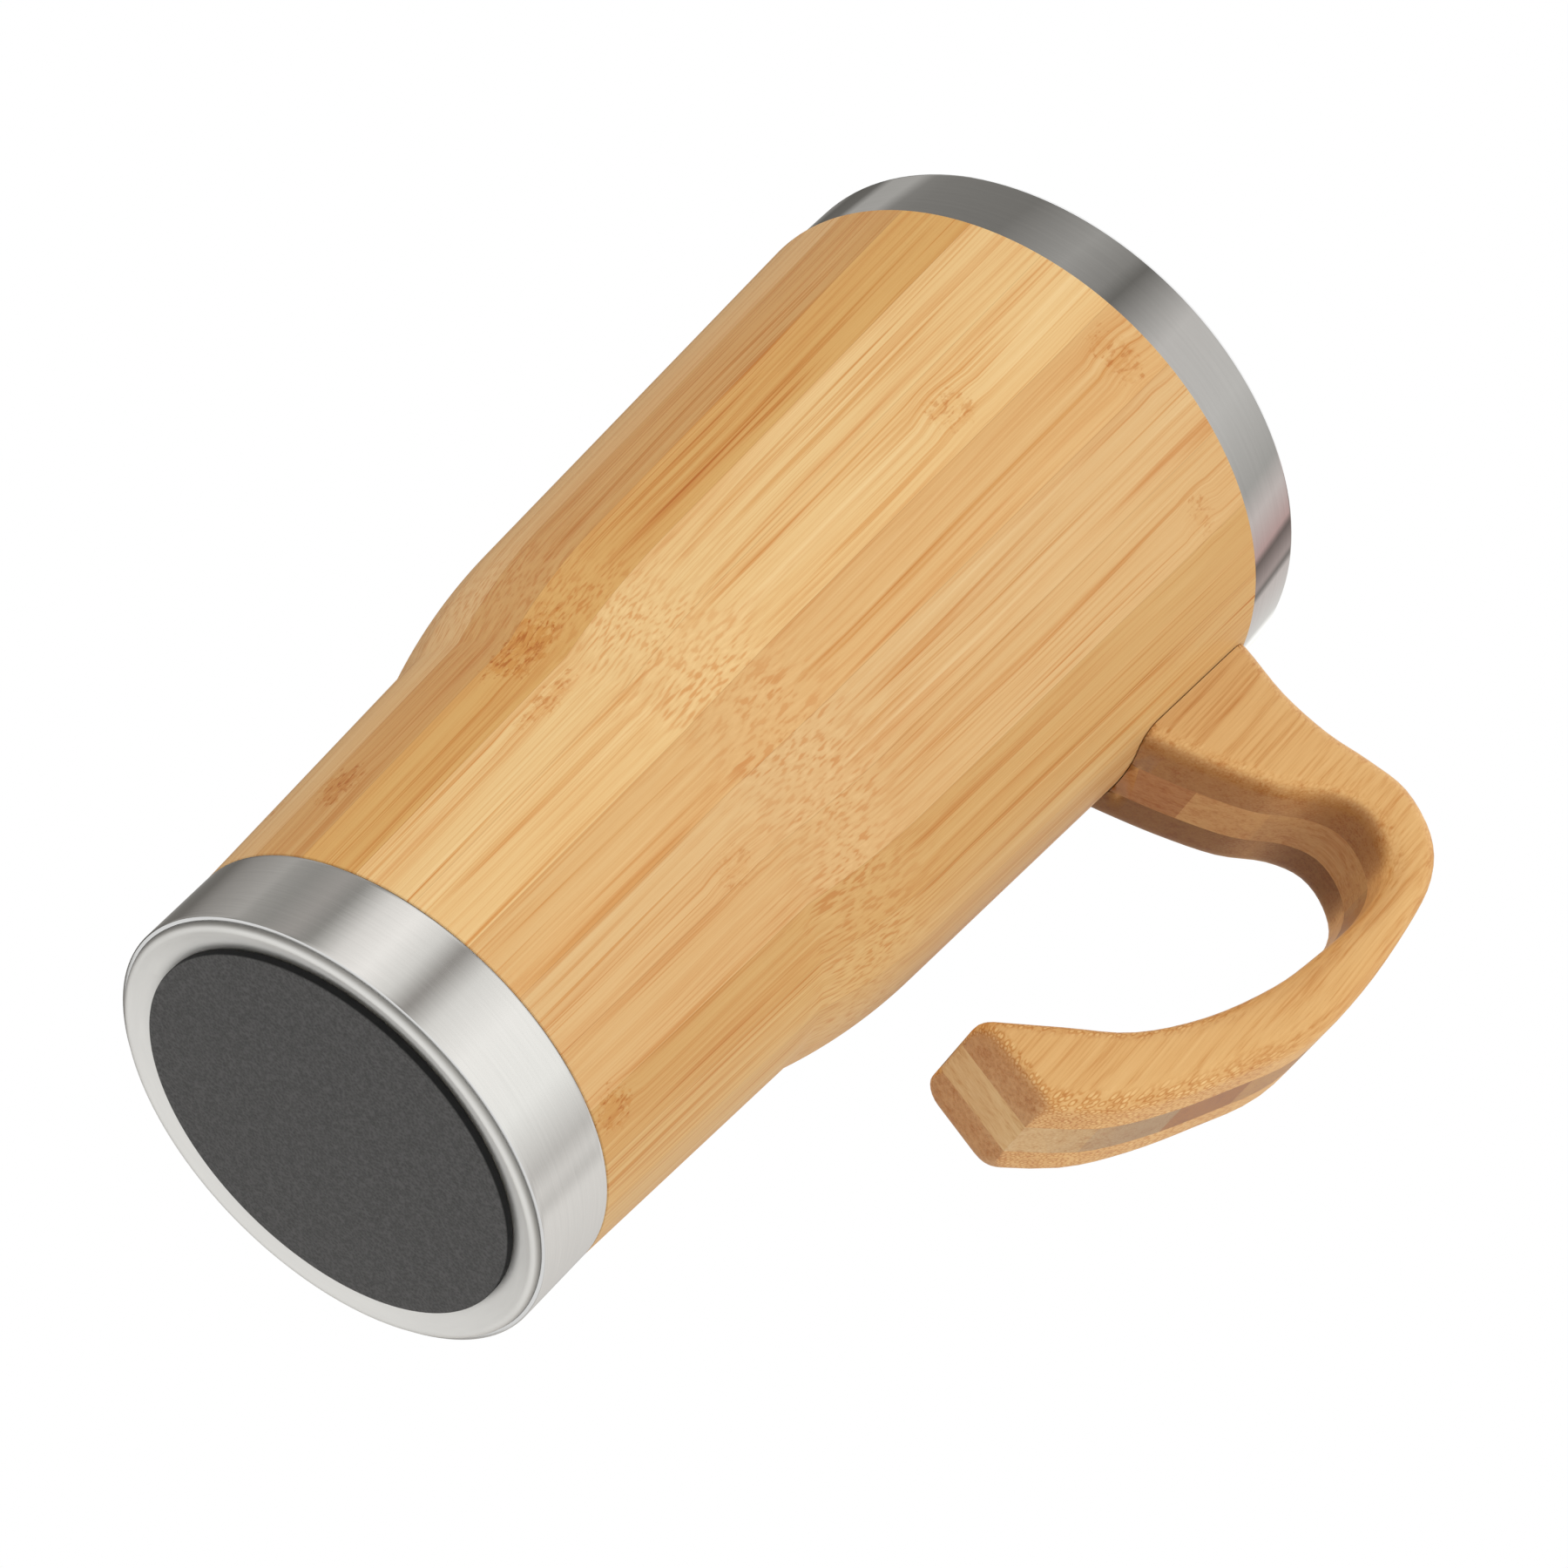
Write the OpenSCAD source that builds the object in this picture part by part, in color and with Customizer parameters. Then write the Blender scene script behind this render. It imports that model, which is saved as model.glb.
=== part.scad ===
// Travel mug: a turned shell of glued bamboo staves over a drawn steel liner,
// with a steel rim band, a steel foot and a three-ply bamboo handle.
// Millimetres, +Z up. The origin is the centre of the foot pad's face, where
// the mug stands, and the handle points along +X.

/* [Body] */
// Height from the face of the foot pad to the top of the lip
total_h = 160; // [155:0.5:172]
// Outer diameter of the shell just under the rim band
shell_top_d = 86.1; // [76:0.1:98]
// How much the shell's radius narrows from there down to the shoulder
top_taper = 3.7; // [2.5:0.1:4.6]
// Height of the place where the round shoulder begins
shoulder_h = 77.5; // [73:0.5:88]
// How much the radius narrows over the round shoulder, down to the waist
shoulder_step = 4; // [3.4:0.1:4.6]
// Height of the waist above the table
waist_h = 56.3; // [46:0.1:60]
// How much the radius narrows from the waist down to the foot band
low_taper = 2.4; // [1.6:0.05:3.4]
// How much the radius narrows over the height of the foot band
band_taper = 0.1; // [0:0.05:0.3]

/* [Rim] */
// Height of the rim band that shows above the shell
rim_band_h = 10.8; // [9:0.2:14]
// How far the rim band is set in from the shell
rim_step = 0.45; // [0.3:0.05:0.9]
// Wall of the rim band
rim_band_t = 0.7; // [0.5:0.1:0.8]
// Radius of the rim band's top shoulder
rim_round = 0.9; // [0.9:0.1:2]
// Width of the lip from the mouth to the outside of the rim band
lip_w = 4.1; // [3.9:0.1:4.8]
// Radius of the liner's lip at the mouth
lip_round = 0.9; // [0.7:0.1:1]

/* [Liner] */
// Wall of the drawn steel liner
liner_t = 0.5; // [0.4:0.05:0.6]
// Depth of the straight seat for a stopper in the mouth
mouth_seat_h = 14; // [12:0.5:20]
// Inset of the liner's floor from the outside of the foot band
liner_inset = 4.85; // [4.7:0.05:6]
// Radius of the corner between the liner's floor and wall
liner_corner = 5; // [3:0.5:8]

/* [Foot] */
// Height of the foot band
foot_band_h = 12.55; // [11:0.25:18]
// Wall of the foot band
foot_band_t = 0.6; // [0.5:0.05:0.8]
// Height of the foot band's lower edge above the rim of the foot plate
foot_reveal = 0.8; // [0.4:0.1:1.2]
// Radius of the foot plate's outer edge
foot_edge = 0.9; // [0.7:0.1:1.2]
// Sheet of the foot plate
foot_plate_t = 0.6; // [0.4:0.05:0.65]
// Height of the foot plate's turned-up flange
foot_flange_h = 3; // [2:0.25:4]
// Width of the steel round the foot pad
pad_border = 5; // [4.6:0.1:8]
// Thickness of the foot pad
pad_t = 1.2; // [1:0.1:1.8]
// How far the foot pad stands out below the steel
pad_proud = 0.15; // [0.1:0.05:0.4]
// Gap between the edge of the pad and the slope of the foot plate
pad_gap = 0.2; // [0.1:0.05:0.6]
// Thickness of the adhesive film over the pad
film_t = 0.2; // [0.1:0.05:0.4]
// Thickness of the foam spacer under the liner
spacer_t = 3.8; // [3:0.2:5]

/* [Handle] */
// Height of the handle from its lower end to its crest
handle_h = 80.9; // [72:0.1:86]
// How far the handle reaches out from the shell
handle_reach = 42.7; // [38:0.1:50]
// Thickness of the handle through its three plies
handle_t = 22; // [19:0.5:25]
// Thickness of the core ply
core_t = 7.3; // [6:0.1:8.5]
// Radius along the edges of the handle
edge_round = 3.2; // [2:0.1:3.6]
// Distance from the shell's top edge down to the handle's crest
handle_drop = 0.2; // [0.2:0.1:4]

/* [Fixings] */
// Diameter of a handle screw's shank
screw_d = 3.5; // [3:0.1:4]
// Diameter of a handle screw's head
screw_head_d = 5.6; // [5:0.1:6]
// Distance from the core ply to the middle of a handle screw
screw_inset = 2.75; // [2.5:0.05:3.5]
// Thickness of a handle screw's head
screw_head_t = 1.4; // [1:0.1:1.6]
// Length of a screw that bites into the handle
screw_bite = 10; // [6:0.5:11]
// Height between the two rows of screws
screw_rise = 8; // [7.2:0.1:8.6]

/* [Hidden] */

// Clearances and small details
glue_gap = 0.1;
liner_clear = 0.35;
rim_ledge = 7.5;
plate_clear = 0.1;
flange_clear = 0.3;
film_inset = 0.5;
spacer_inset = 2;
band_chamfer = 0.15;
handle_glue = 0.15;
screw_clear = 0.1;
over = 1;
round_steps = 6;
curve_steps = 4;
round_fn = 180;

// Radii and heights that the pieces share
shell_top_r = shell_top_d / 2;
shoulder_r = shell_top_r - top_taper;
waist_r = shoulder_r - shoulder_step;
shell_low_r = waist_r - low_taper;
foot_r = shell_low_r - band_taper;
shell_top_z = total_h - rim_band_h;
foot_band_z = pad_proud + foot_reveal;
foot_top_z = foot_band_z + foot_band_h;
rim_r = shell_top_r - rim_step;
mouth_r = rim_r - lip_w;
mouth_z = total_h - mouth_seat_h;
pad_r = foot_r - pad_border;
dish_r = pad_r + pad_gap;
dish_z = pad_t + film_t;
spacer_z = dish_z + foot_plate_t;
liner_low_z = spacer_z + spacer_t + plate_clear;
liner_floor_z = liner_low_z + liner_t;
liner_floor_r = foot_r - liner_inset;

// Foot band, and the lower cone of the shell above it
band_slope = (shell_low_r - foot_r) / (foot_top_z - pad_proud);
function band_in(z) = foot_r - foot_band_t + (z - pad_proud) * band_slope;
low_slope = (waist_r - shell_low_r) / (waist_h - foot_top_z);
function low_r(z) = shell_low_r + (z - foot_top_z) * low_slope;

// Upper cone, and the round shoulder that runs tangent into it from the waist
top_slope = (shell_top_r - shoulder_r) / (shell_top_z - shoulder_h);
top_angle = atan(top_slope);
chord = [shoulder_r - waist_r, shoulder_h - waist_h];
inward = [-cos(top_angle), sin(top_angle)];
arc_r = -(chord * chord) / (2 * (inward * chord));
arc_mid = [shoulder_r, shoulder_h] + arc_r * inward;
function arc_at(z) =
    arc_mid[0] + sign(arc_r) * sqrt(arc_r * arc_r - pow(z - arc_mid[1], 2));
function shell_r(z) =
    z <= waist_h ? low_r(z) :
    z <= shoulder_h ? arc_at(z) :
    shoulder_r + (z - shoulder_h) * top_slope;
shoulder_steps = 10;
shoulder_points = [
    for (i = [0:shoulder_steps])
        let (z = waist_h + (shoulder_h - waist_h) * i / shoulder_steps)
            [shell_r(z), z]
];

// Liner: a plain cone from its floor to the straight seat in the mouth
liner_slope = (mouth_r - liner_floor_r) / (mouth_z - liner_floor_z);
function liner_in(z) =
    z >= mouth_z ? mouth_r : liner_floor_r + (z - liner_floor_z) * liner_slope;
function stave_in(z) = liner_in(z) + liner_t + liner_clear;

// Points of an arc about a centre
function arc_points(mid, r, from, to, steps) = [
    for (i = [0:steps])
        let (a = from + (to - from) * i / steps)
            mid + r * [cos(a), sin(a)]
];

// Staves
stave_count = 24;
stave_angle = 360 / stave_count;
// Turn of the first glue line from the handle
stave_turn = -1;
stave_low_z = pad_proud + foot_flange_h + flange_clear;
stave_high_z = shell_top_z + rim_ledge;
function spigot_r(z) = band_in(z) - glue_gap;

// Handle outline in shares of its reach and height, from the root to the tip:
// outer edge across, outer edge up, inner edge across, inner edge up
handle_shares = [
    [-0.114, 1.000, -0.114, 0.676],
    [0.005, 0.999, 0.011, 0.701],
    [0.194, 0.978, 0.190, 0.742],
    [0.380, 0.977, 0.373, 0.794],
    [0.543, 0.992, 0.508, 0.855],
    [0.698, 0.997, 0.626, 0.881],
    [0.849, 0.959, 0.741, 0.864],
    [0.939, 0.890, 0.822, 0.819],
    [0.980, 0.777, 0.843, 0.735],
    [1.000, 0.617, 0.818, 0.611],
    [0.981, 0.463, 0.777, 0.496],
    [0.890, 0.331, 0.681, 0.358],
    [0.783, 0.203, 0.539, 0.234],
    [0.661, 0.094, 0.366, 0.147],
    [0.490, 0.000, 0.153, 0.041]
];
// Heights of the glue lines between the core strips
strip_shares = [0.233, 0.37, 0.555, 0.744, 0.815];
// Where across the reach the root's strips part from the grip's
part_share = 0.67;
// Height of the root's middle
root_share = 0.849;
// How much of the tip's rounding the inner corner takes
tip_inner_share = 0.6;
handle_top_z = shell_top_z - handle_drop;
handle_low_z = handle_top_z - handle_h;
handle_root_r = shell_r(handle_low_z + root_share * handle_h);
function handle_z(share) = handle_low_z + share * handle_h;
function handle_x(share) = handle_root_r + share * handle_reach;
stations = [
    for (s = handle_shares)
        [handle_x(s[0]), handle_z(s[1]), handle_x(s[2]), handle_z(s[3])]
];
last_station = len(stations) - 1;
core_y = core_t / 2;
face_y = handle_t / 2;

// A smooth curve through four stations, between the middle two
function curve(a, b, c, d, t) =
    0.5 * (2 * b + (c - a) * t + (2 * a - 5 * b + 4 * c - d) * t * t
    + (3 * b - a - 3 * c + d) * t * t * t);
function along(i, t) =
    curve(stations[max(i - 1, 0)], stations[i], stations[i + 1],
        stations[min(i + 2, last_station)], t);
tip_back = stations[last_station - 1] - stations[last_station];
tip_len = norm([tip_back[0] + tip_back[2], tip_back[1] + tip_back[3]]) / 2;
tip_start = 1 - edge_round / tip_len;
// Each rail is an outer point, an inner point and how far the tip has rounded
rails = concat(
    [for (i = [0:last_station - 2]) for (j = [0:curve_steps - 1]) rail(along(i, j / curve_steps), 0)],
    [for (j = [0:1]) rail(along(last_station - 1, tip_start * j / 2), 0)],
    [
        for (j = [0:round_steps])
            let (a = 90 * j / round_steps)
                rail(along(last_station - 1, 1 - edge_round * (1 - sin(a)) / tip_len),
                    edge_round * (1 - cos(a)))
    ]
);
function rail(s, cut) =
    let (
        outer = [s[0], s[1]],
        inner = [s[2], s[3]],
        way = (outer - inner) / norm(outer - inner)
    ) [outer, inner + way * cut * tip_inner_share, cut];

// One cross-section of a face ply: flat on the core, round at its two edges
function ply_ring(r) =
    let (
        w = norm(r[0] - r[1]),
        way = (r[0] - r[1]) / w,
        top = face_y - r[2],
        e = min(edge_round, w / 2),
        section = concat(
            [[0, core_y]],
            arc_points([e, top - e], e, 180, 90, round_steps),
            arc_points([w - e, top - e], e, 90, 0, round_steps),
            [[w, core_y]]
        )
    ) [
        for (p = section)
            let (q = r[1] + way * p[0]) [q[0], p[1], q[1]]
    ];

// Screws: two rows, one screw in each face ply
screw_y = core_y + screw_inset;
screw_top_share = 0.934;
screw_high_z = handle_z(screw_top_share);
screw_rows = [screw_high_z - screw_rise, screw_high_z];
screw_sides = [-1, 1];
function screw_x(z) =
    sqrt(pow(stave_in(z + screw_head_d / 2), 2) - pow(screw_y - screw_head_d / 2, 2)) + screw_clear;
screw_end_x = handle_root_r + screw_bite;

// Solid of revolution from an outline
module turned(points) {
    rotate_extrude($fn = round_fn) polygon(points);
}

// Holes for the four screws, with the clearance round shank and head
module screw_holes() {
    for (z = screw_rows)
        for (side = screw_sides)
            translate([0, side * screw_y, z])
                rotate([0, 90, 0]) {
                    cylinder(h = screw_end_x + screw_clear, d = screw_d + 2 * screw_clear, $fn = 48);
                    cylinder(h = screw_x(z) + screw_head_t + screw_clear / 2,
                        d = screw_head_d + 2 * screw_clear, $fn = 48);
                }
}

// Outline of the whole turned shell, before it is cut into staves
module shell_ring() {
    turned(concat(
        [
            [stave_in(stave_low_z), stave_low_z],
            [spigot_r(stave_low_z), stave_low_z],
            [spigot_r(foot_top_z + glue_gap), foot_top_z + glue_gap],
            [low_r(foot_top_z) - band_chamfer, foot_top_z + glue_gap],
            [low_r(foot_top_z + band_chamfer), foot_top_z + glue_gap + band_chamfer]
        ],
        shoulder_points,
        [
            [shell_r(shell_top_z - band_chamfer), shell_top_z - band_chamfer],
            [shell_top_r - band_chamfer, shell_top_z],
            [rim_r - rim_band_t - glue_gap, shell_top_z],
            [rim_r - rim_band_t - glue_gap, stave_high_z],
            [stave_in(stave_high_z), stave_high_z],
            [stave_in(mouth_z), mouth_z]
        ]
    ));
}

// One glued stave of the shell
module stave(i) {
    reach = shell_top_d;
    from = stave_turn + (i - 1) * stave_angle;
    to = from + stave_angle;
    color(i % 2 == 0 ? "#d8ad6e" : "#cf9f5e")
        difference() {
            intersection() {
                shell_ring();
                translate([0, 0, -over])
                    linear_extrude(total_h + 2 * over)
                        polygon([[0, 0], reach * [cos(from), sin(from)], reach * [cos(to), sin(to)]]);
            }
            screw_holes();
        }
}

// Polished band round the rim, with its top shoulder turned in to the lip
module rim_band() {
    outer = rim_r;
    inner = rim_r - rim_band_t;
    seam = mouth_r + lip_w / 2;
    mid = [outer - rim_round, total_h - rim_round];
    color("#c8c9cb")
        turned(concat(
            [[inner, shell_top_z + glue_gap + band_chamfer]],
            [[inner + band_chamfer, shell_top_z + glue_gap]],
            [[outer - band_chamfer, shell_top_z + glue_gap]],
            [[outer, shell_top_z + glue_gap + band_chamfer]],
            arc_points(mid, rim_round, 0, 90, round_steps),
            [[seam, total_h], [seam, total_h - rim_band_t]],
            arc_points(mid, rim_round - rim_band_t, 90, 0, round_steps)
        ));
}

// Drawn liner: floor, round corner, tapered wall, straight mouth and lip
module liner() {
    seam = mouth_r + lip_w / 2;
    lean = atan(liner_slope);
    corner_r = liner_in(liner_floor_z + liner_corner) - liner_corner / cos(lean);
    corner = [corner_r, liner_floor_z + liner_corner];
    lip = [mouth_r + lip_round, total_h - lip_round];
    color("#d4d5d6")
        turned(concat(
            [[0, liner_low_z]],
            arc_points(corner, liner_corner + liner_t, 270, 360 - lean, round_steps),
            [[mouth_r + liner_t, mouth_z]],
            arc_points(lip, lip_round - liner_t, 180, 90, round_steps),
            [[seam, total_h - liner_t], [seam, total_h]],
            arc_points(lip, lip_round, 90, 180, round_steps),
            [[mouth_r, mouth_z]],
            arc_points(corner, liner_corner, 360 - lean, 270, round_steps),
            [[0, liner_floor_z]]
        ));
}

// Brushed band round the foot
module foot_band() {
    top_in = foot_top_z - band_chamfer;
    color("#c3c3c1")
        turned([
            [band_in(foot_band_z), foot_band_z + band_chamfer],
            [band_in(foot_band_z) + band_chamfer, foot_band_z],
            [band_in(foot_band_z) + foot_band_t - band_chamfer, foot_band_z],
            [band_in(foot_band_z) + foot_band_t, foot_band_z + band_chamfer],
            [band_in(top_in) + foot_band_t, top_in],
            [shell_low_r - band_chamfer, foot_top_z],
            [band_in(foot_top_z), foot_top_z]
        ]);
}

// Pressed plate in the foot band: a flat disc for the pad, a slope down to
// the rim, a rounded edge and a flange up inside the band
module foot_plate() {
    outer = band_in(pad_proud) - plate_clear;
    flange_z = pad_proud + foot_flange_h;
    flange_r = band_in(flange_z) - plate_clear;
    mid = [outer - foot_edge, pad_proud + foot_edge];
    way = mid - [dish_r, dish_z];
    slope = asin(foot_edge / norm(way)) - atan(way[1] / way[0]);
    color("#cbcbca")
        turned(concat(
            [[0, dish_z], [dish_r, dish_z]],
            arc_points(mid, foot_edge, 270 - slope, 360, round_steps),
            [[flange_r, flange_z], [flange_r - foot_plate_t, flange_z]],
            arc_points(mid, foot_edge - foot_plate_t, 360, 270 - slope, round_steps),
            [[dish_r + foot_plate_t * tan(slope / 2), spacer_z], [0, spacer_z]]
        ));
}

// Soft pad that the mug stands on
module foot_pad() {
    color("#4a4a4a")
        cylinder(h = pad_t, r = pad_r, $fn = round_fn);
}

// Double-sided film that holds the pad on the foot plate
module pad_film() {
    color("#e6e2d6")
        translate([0, 0, pad_t])
            cylinder(h = film_t, r = pad_r - film_inset, $fn = round_fn);
}

// Foam disc between the foot plate and the liner's floor
module liner_spacer() {
    color("#efefe9")
        translate([0, 0, spacer_z])
            cylinder(h = spacer_t, r = liner_floor_r - spacer_inset, $fn = round_fn);
}

// Everything inside the shell's outer surface and the glue on it
module inside_shell() {
    turned(concat(
        [[0, foot_top_z], [shell_low_r + handle_glue, foot_top_z]],
        [for (p = shoulder_points) p + [handle_glue, 0]],
        [
            [shell_top_r + handle_glue, shell_top_z],
            [shell_top_r + handle_glue, total_h + over],
            [0, total_h + over]
        ]
    ));
}

// Face ply at the back of the handle, rounded along its outer edges and at the tip
module face_ply() {
    rings = [for (r = rails) ply_ring(r)];
    n = len(rings[0]);
    last = len(rings) - 1;
    points = [for (ring = rings) for (p = ring) p];
    sides = [
        for (k = [0:last - 1])
            for (i = [0:n - 1])
                let (
                    a = k * n + i,
                    b = k * n + (i + 1) % n
                ) each [[a, b, b + n], [a, b + n, a + n]]
    ];
    caps = [[for (i = [n - 1:-1:0]) i], [for (i = [0:n - 1]) last * n + i]];
    difference() {
        polyhedron(points, concat(sides, caps), convexity = 6);
        inside_shell();
        screw_holes();
    }
}

module handle_front_ply() {
    color("#d6a866") mirror([0, 1, 0]) face_ply();
}

module handle_back_ply() {
    color("#d6a866") face_ply();
}

// Core ply between two heights, on the root's side, the grip's side or both
module core_strip(from, to, near_root, near_grip) {
    part_x = handle_x(part_share);
    left_x = near_root ? 0 : part_x;
    right_x = near_grip ? handle_x(1) + over : part_x;
    difference() {
        translate([0, core_y, 0])
            rotate([90, 0, 0])
                linear_extrude(core_t)
                    intersection() {
                        polygon(concat([for (r = rails) r[0]],
                            [for (i = [len(rails) - 1:-1:0]) rails[i][1]]));
                        translate([left_x, from])
                            square([right_x - left_x, to - from]);
                    }
        inside_shell();
    }
}

module handle_core_tip() {
    color("#dcb87c") core_strip(handle_low_z - over, handle_z(strip_shares[0]), true, true);
}

module handle_core_lower() {
    color("#a9805a")
        core_strip(handle_z(strip_shares[0]), handle_z(strip_shares[1]), true, true);
}

module handle_core_grip() {
    color("#b98e5a")
        core_strip(handle_z(strip_shares[1]), handle_z(strip_shares[2]), true, true);
}

module handle_core_upper() {
    color("#b07c48")
        core_strip(handle_z(strip_shares[2]), handle_z(strip_shares[3]), false, true);
}

module handle_core_bend() {
    color("#b98450")
        core_strip(handle_z(strip_shares[3]), handle_z(strip_shares[4]), false, true);
}

module handle_core_arch() {
    color("#a88255") core_strip(handle_z(strip_shares[4]), handle_top_z + over, true, true);
}

module handle_core_root() {
    color("#b58a56")
        core_strip(handle_z(strip_shares[3]), handle_z(strip_shares[4]), true, false);
}

module handle_core_heel() {
    color("#a9703c")
        core_strip(handle_z(strip_shares[2]), handle_z(strip_shares[3]), true, false);
}

// Four pan-head screws, driven from inside the shell into the face plies
module handle_screws() {
    color("#b9babc")
        for (z = screw_rows)
            for (side = screw_sides)
                translate([screw_x(z), side * screw_y, z])
                    rotate([0, 90, 0]) {
                        cylinder(h = screw_head_t, d = screw_head_d, $fn = 48);
                        cylinder(h = screw_end_x - screw_x(z), d = screw_d, $fn = 48);
                    }
}

stave(1);  // stave_01
stave(2);  // stave_02
stave(3);  // stave_03
stave(4);  // stave_04
stave(5);  // stave_05
stave(6);  // stave_06
stave(7);  // stave_07
stave(8);  // stave_08
stave(9);  // stave_09
stave(10);  // stave_10
stave(11);  // stave_11
stave(12);  // stave_12
stave(13);  // stave_13
stave(14);  // stave_14
stave(15);  // stave_15
stave(16);  // stave_16
stave(17);  // stave_17
stave(18);  // stave_18
stave(19);  // stave_19
stave(20);  // stave_20
stave(21);  // stave_21
stave(22);  // stave_22
stave(23);  // stave_23
stave(24);  // stave_24
rim_band();
liner();
foot_band();
foot_plate();
foot_pad();
pad_film();
liner_spacer();
handle_front_ply();
handle_back_ply();
handle_core_tip();
handle_core_lower();
handle_core_grip();
handle_core_upper();
handle_core_bend();
handle_core_arch();
handle_core_root();
handle_core_heel();
handle_screws();
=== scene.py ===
import math

import bmesh
import bpy
from mathutils import Matrix, Vector


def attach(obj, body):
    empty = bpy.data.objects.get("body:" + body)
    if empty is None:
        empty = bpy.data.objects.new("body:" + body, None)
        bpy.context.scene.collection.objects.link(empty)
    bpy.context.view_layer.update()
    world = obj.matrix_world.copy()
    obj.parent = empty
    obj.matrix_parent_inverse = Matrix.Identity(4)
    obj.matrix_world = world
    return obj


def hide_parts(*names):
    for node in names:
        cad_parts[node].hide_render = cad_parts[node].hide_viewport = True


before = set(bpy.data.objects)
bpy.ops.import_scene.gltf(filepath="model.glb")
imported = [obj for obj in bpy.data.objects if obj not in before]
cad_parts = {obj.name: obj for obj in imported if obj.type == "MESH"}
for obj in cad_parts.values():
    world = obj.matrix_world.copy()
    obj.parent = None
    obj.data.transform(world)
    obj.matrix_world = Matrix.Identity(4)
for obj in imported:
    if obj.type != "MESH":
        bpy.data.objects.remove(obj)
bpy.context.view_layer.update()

MM = 0.001

# ---------------------------------------------------------------------------
# Camera. It looks up at the tumbler from below the table, past the foot, with
# the handle on its right, as the photograph does. Its place, turn and lens
# were fitted to the ellipses of the foot and rim and to the shell's sides.
eye = bpy.data.cameras.new("camera")
eye.sensor_width = 36
eye.lens = 116.62
eye.clip_start = 0.01
camera = bpy.data.objects.new("camera", eye)
right = Vector((0.7449, -0.3471, 0.5697))
up = Vector((-0.6634, -0.4759, 0.5773))
back = right.cross(up)
camera_matrix = Matrix((right, up, back)).transposed().to_4x4()
camera_matrix.translation = Vector((57.125, -542.462, -306.616)) * MM
camera.matrix_world = camera_matrix
bpy.context.scene.collection.objects.link(camera)
bpy.context.scene.camera = camera
bpy.context.scene.view_settings.view_transform = "Standard"


# ---------------------------------------------------------------------------
# Studio. A white room that lights the tumbler evenly from all sides, with a
# large soft lamp on the camera's left, one on its right and one from above.
def add(tree, kind, values=None, **settings):
    """A shader node, its settings, and its inputs as values or links."""
    made = tree.nodes.new("ShaderNode" + kind)
    for name, value in settings.items():
        setattr(made, name, value)
    for name, value in (values or {}).items():
        if isinstance(value, bpy.types.NodeSocket):
            tree.links.new(value, made.inputs[name])
        else:
            made.inputs[name].default_value = value
    return made


def maths(tree, operation, a, b=0.0, c=0.0):
    return add(tree, "Math", {0: a, 1: b, 2: c}, operation=operation).outputs[0]


room_light = 0.84  # what falls on the surfaces; seen or mirrored, the room is 1
world = bpy.data.worlds.new("white_room")
world.use_nodes = True
world.node_tree.nodes.clear()
room = world.node_tree
rays = add(room, "LightPath").outputs
mirrored = maths(room, "MAXIMUM", rays["Is Glossy Ray"], rays["Is Transmission Ray"])
seen = maths(room, "MAXIMUM", rays["Is Camera Ray"], mirrored)
strength = maths(room, "MULTIPLY_ADD", seen, 1 - room_light, room_light)
add(room, "OutputWorld", {"Surface": add(room, "Background", {
    "Color": (1, 1, 1, 1), "Strength": strength}).outputs[0]})
bpy.context.scene.world = world


def soft_lamp(name, place, width, watts):
    """A round lamp, place and width in mm, turned to the middle of the cup."""
    light = bpy.data.lights.new(name, "AREA")
    light.shape = "DISK"
    light.size = width * MM
    light.energy = watts
    lamp = bpy.data.objects.new(name, light)
    place = Vector(place) * MM
    way = Vector((0, 0, 80)) * MM - place
    turned = way.to_track_quat("-Z", "Y").to_matrix().to_4x4()
    lamp.matrix_world = Matrix.Translation(place) @ turned
    lamp.visible_glossy = False
    bpy.context.scene.collection.objects.link(lamp)


soft_lamp("left_lamp", (-700, -700, 500), width=800, watts=1.9)
soft_lamp("right_lamp", (850, -380, 120), width=800, watts=2.2)
soft_lamp("high_lamp", (250, 150, 1000), width=700, watts=2)


# ---------------------------------------------------------------------------
# Floor. A plain pale sheet under the tumbler, which runs out into the white
# room. It shows, with the tumbler's shadow on it, only from above, so the
# camera below it sees past it.
def new_material(name):
    material = bpy.data.materials.new(name)
    material.use_nodes = True
    material.node_tree.nodes.clear()
    return material, material.node_tree


def show(tree, shader):
    add(tree, "OutputMaterial", {"Surface": shader})


def between(tree, value, low, high, to_low=0.0, to_high=1.0, kind="SMOOTHSTEP"):
    """The value carried from one range to another, and held at both ends."""
    return add(tree, "MapRange", {
        "Value": value, "From Min": low, "From Max": high,
        "To Min": to_low, "To Max": to_high}, interpolation_type=kind).outputs[0]


def floor_paper():
    """Pale paper, whole to 0.15 m from the middle and gone at 0.6 m."""
    material, tree = new_material("floor_paper")
    from_above = maths(tree, "SUBTRACT", 1.0, add(tree, "NewGeometry").outputs["Backfacing"])
    camera_ray = add(tree, "LightPath").outputs["Is Camera Ray"]
    shown = maths(tree, "MULTIPLY", camera_ray, from_above)
    place = add(tree, "TexCoord").outputs["Object"]
    out = add(tree, "VectorMath", {0: place}, operation="LENGTH").outputs["Value"]
    shown = maths(tree, "MULTIPLY", shown, between(tree, out, 0.15, 0.6, 1.0, 0.0))
    grain = add(tree, "TexNoise", {"Vector": place, "Scale": 60.0}).outputs["Fac"]
    tone = between(tree, grain, 0.0, 1.0, 0.86, 0.90, "LINEAR")
    paper = add(tree, "BsdfDiffuse", {"Color": tone}).outputs[0]
    clear = add(tree, "BsdfTransparent").outputs[0]
    show(tree, add(tree, "MixShader", {0: shown, 1: clear, 2: paper}).outputs[0])
    return material


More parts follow.
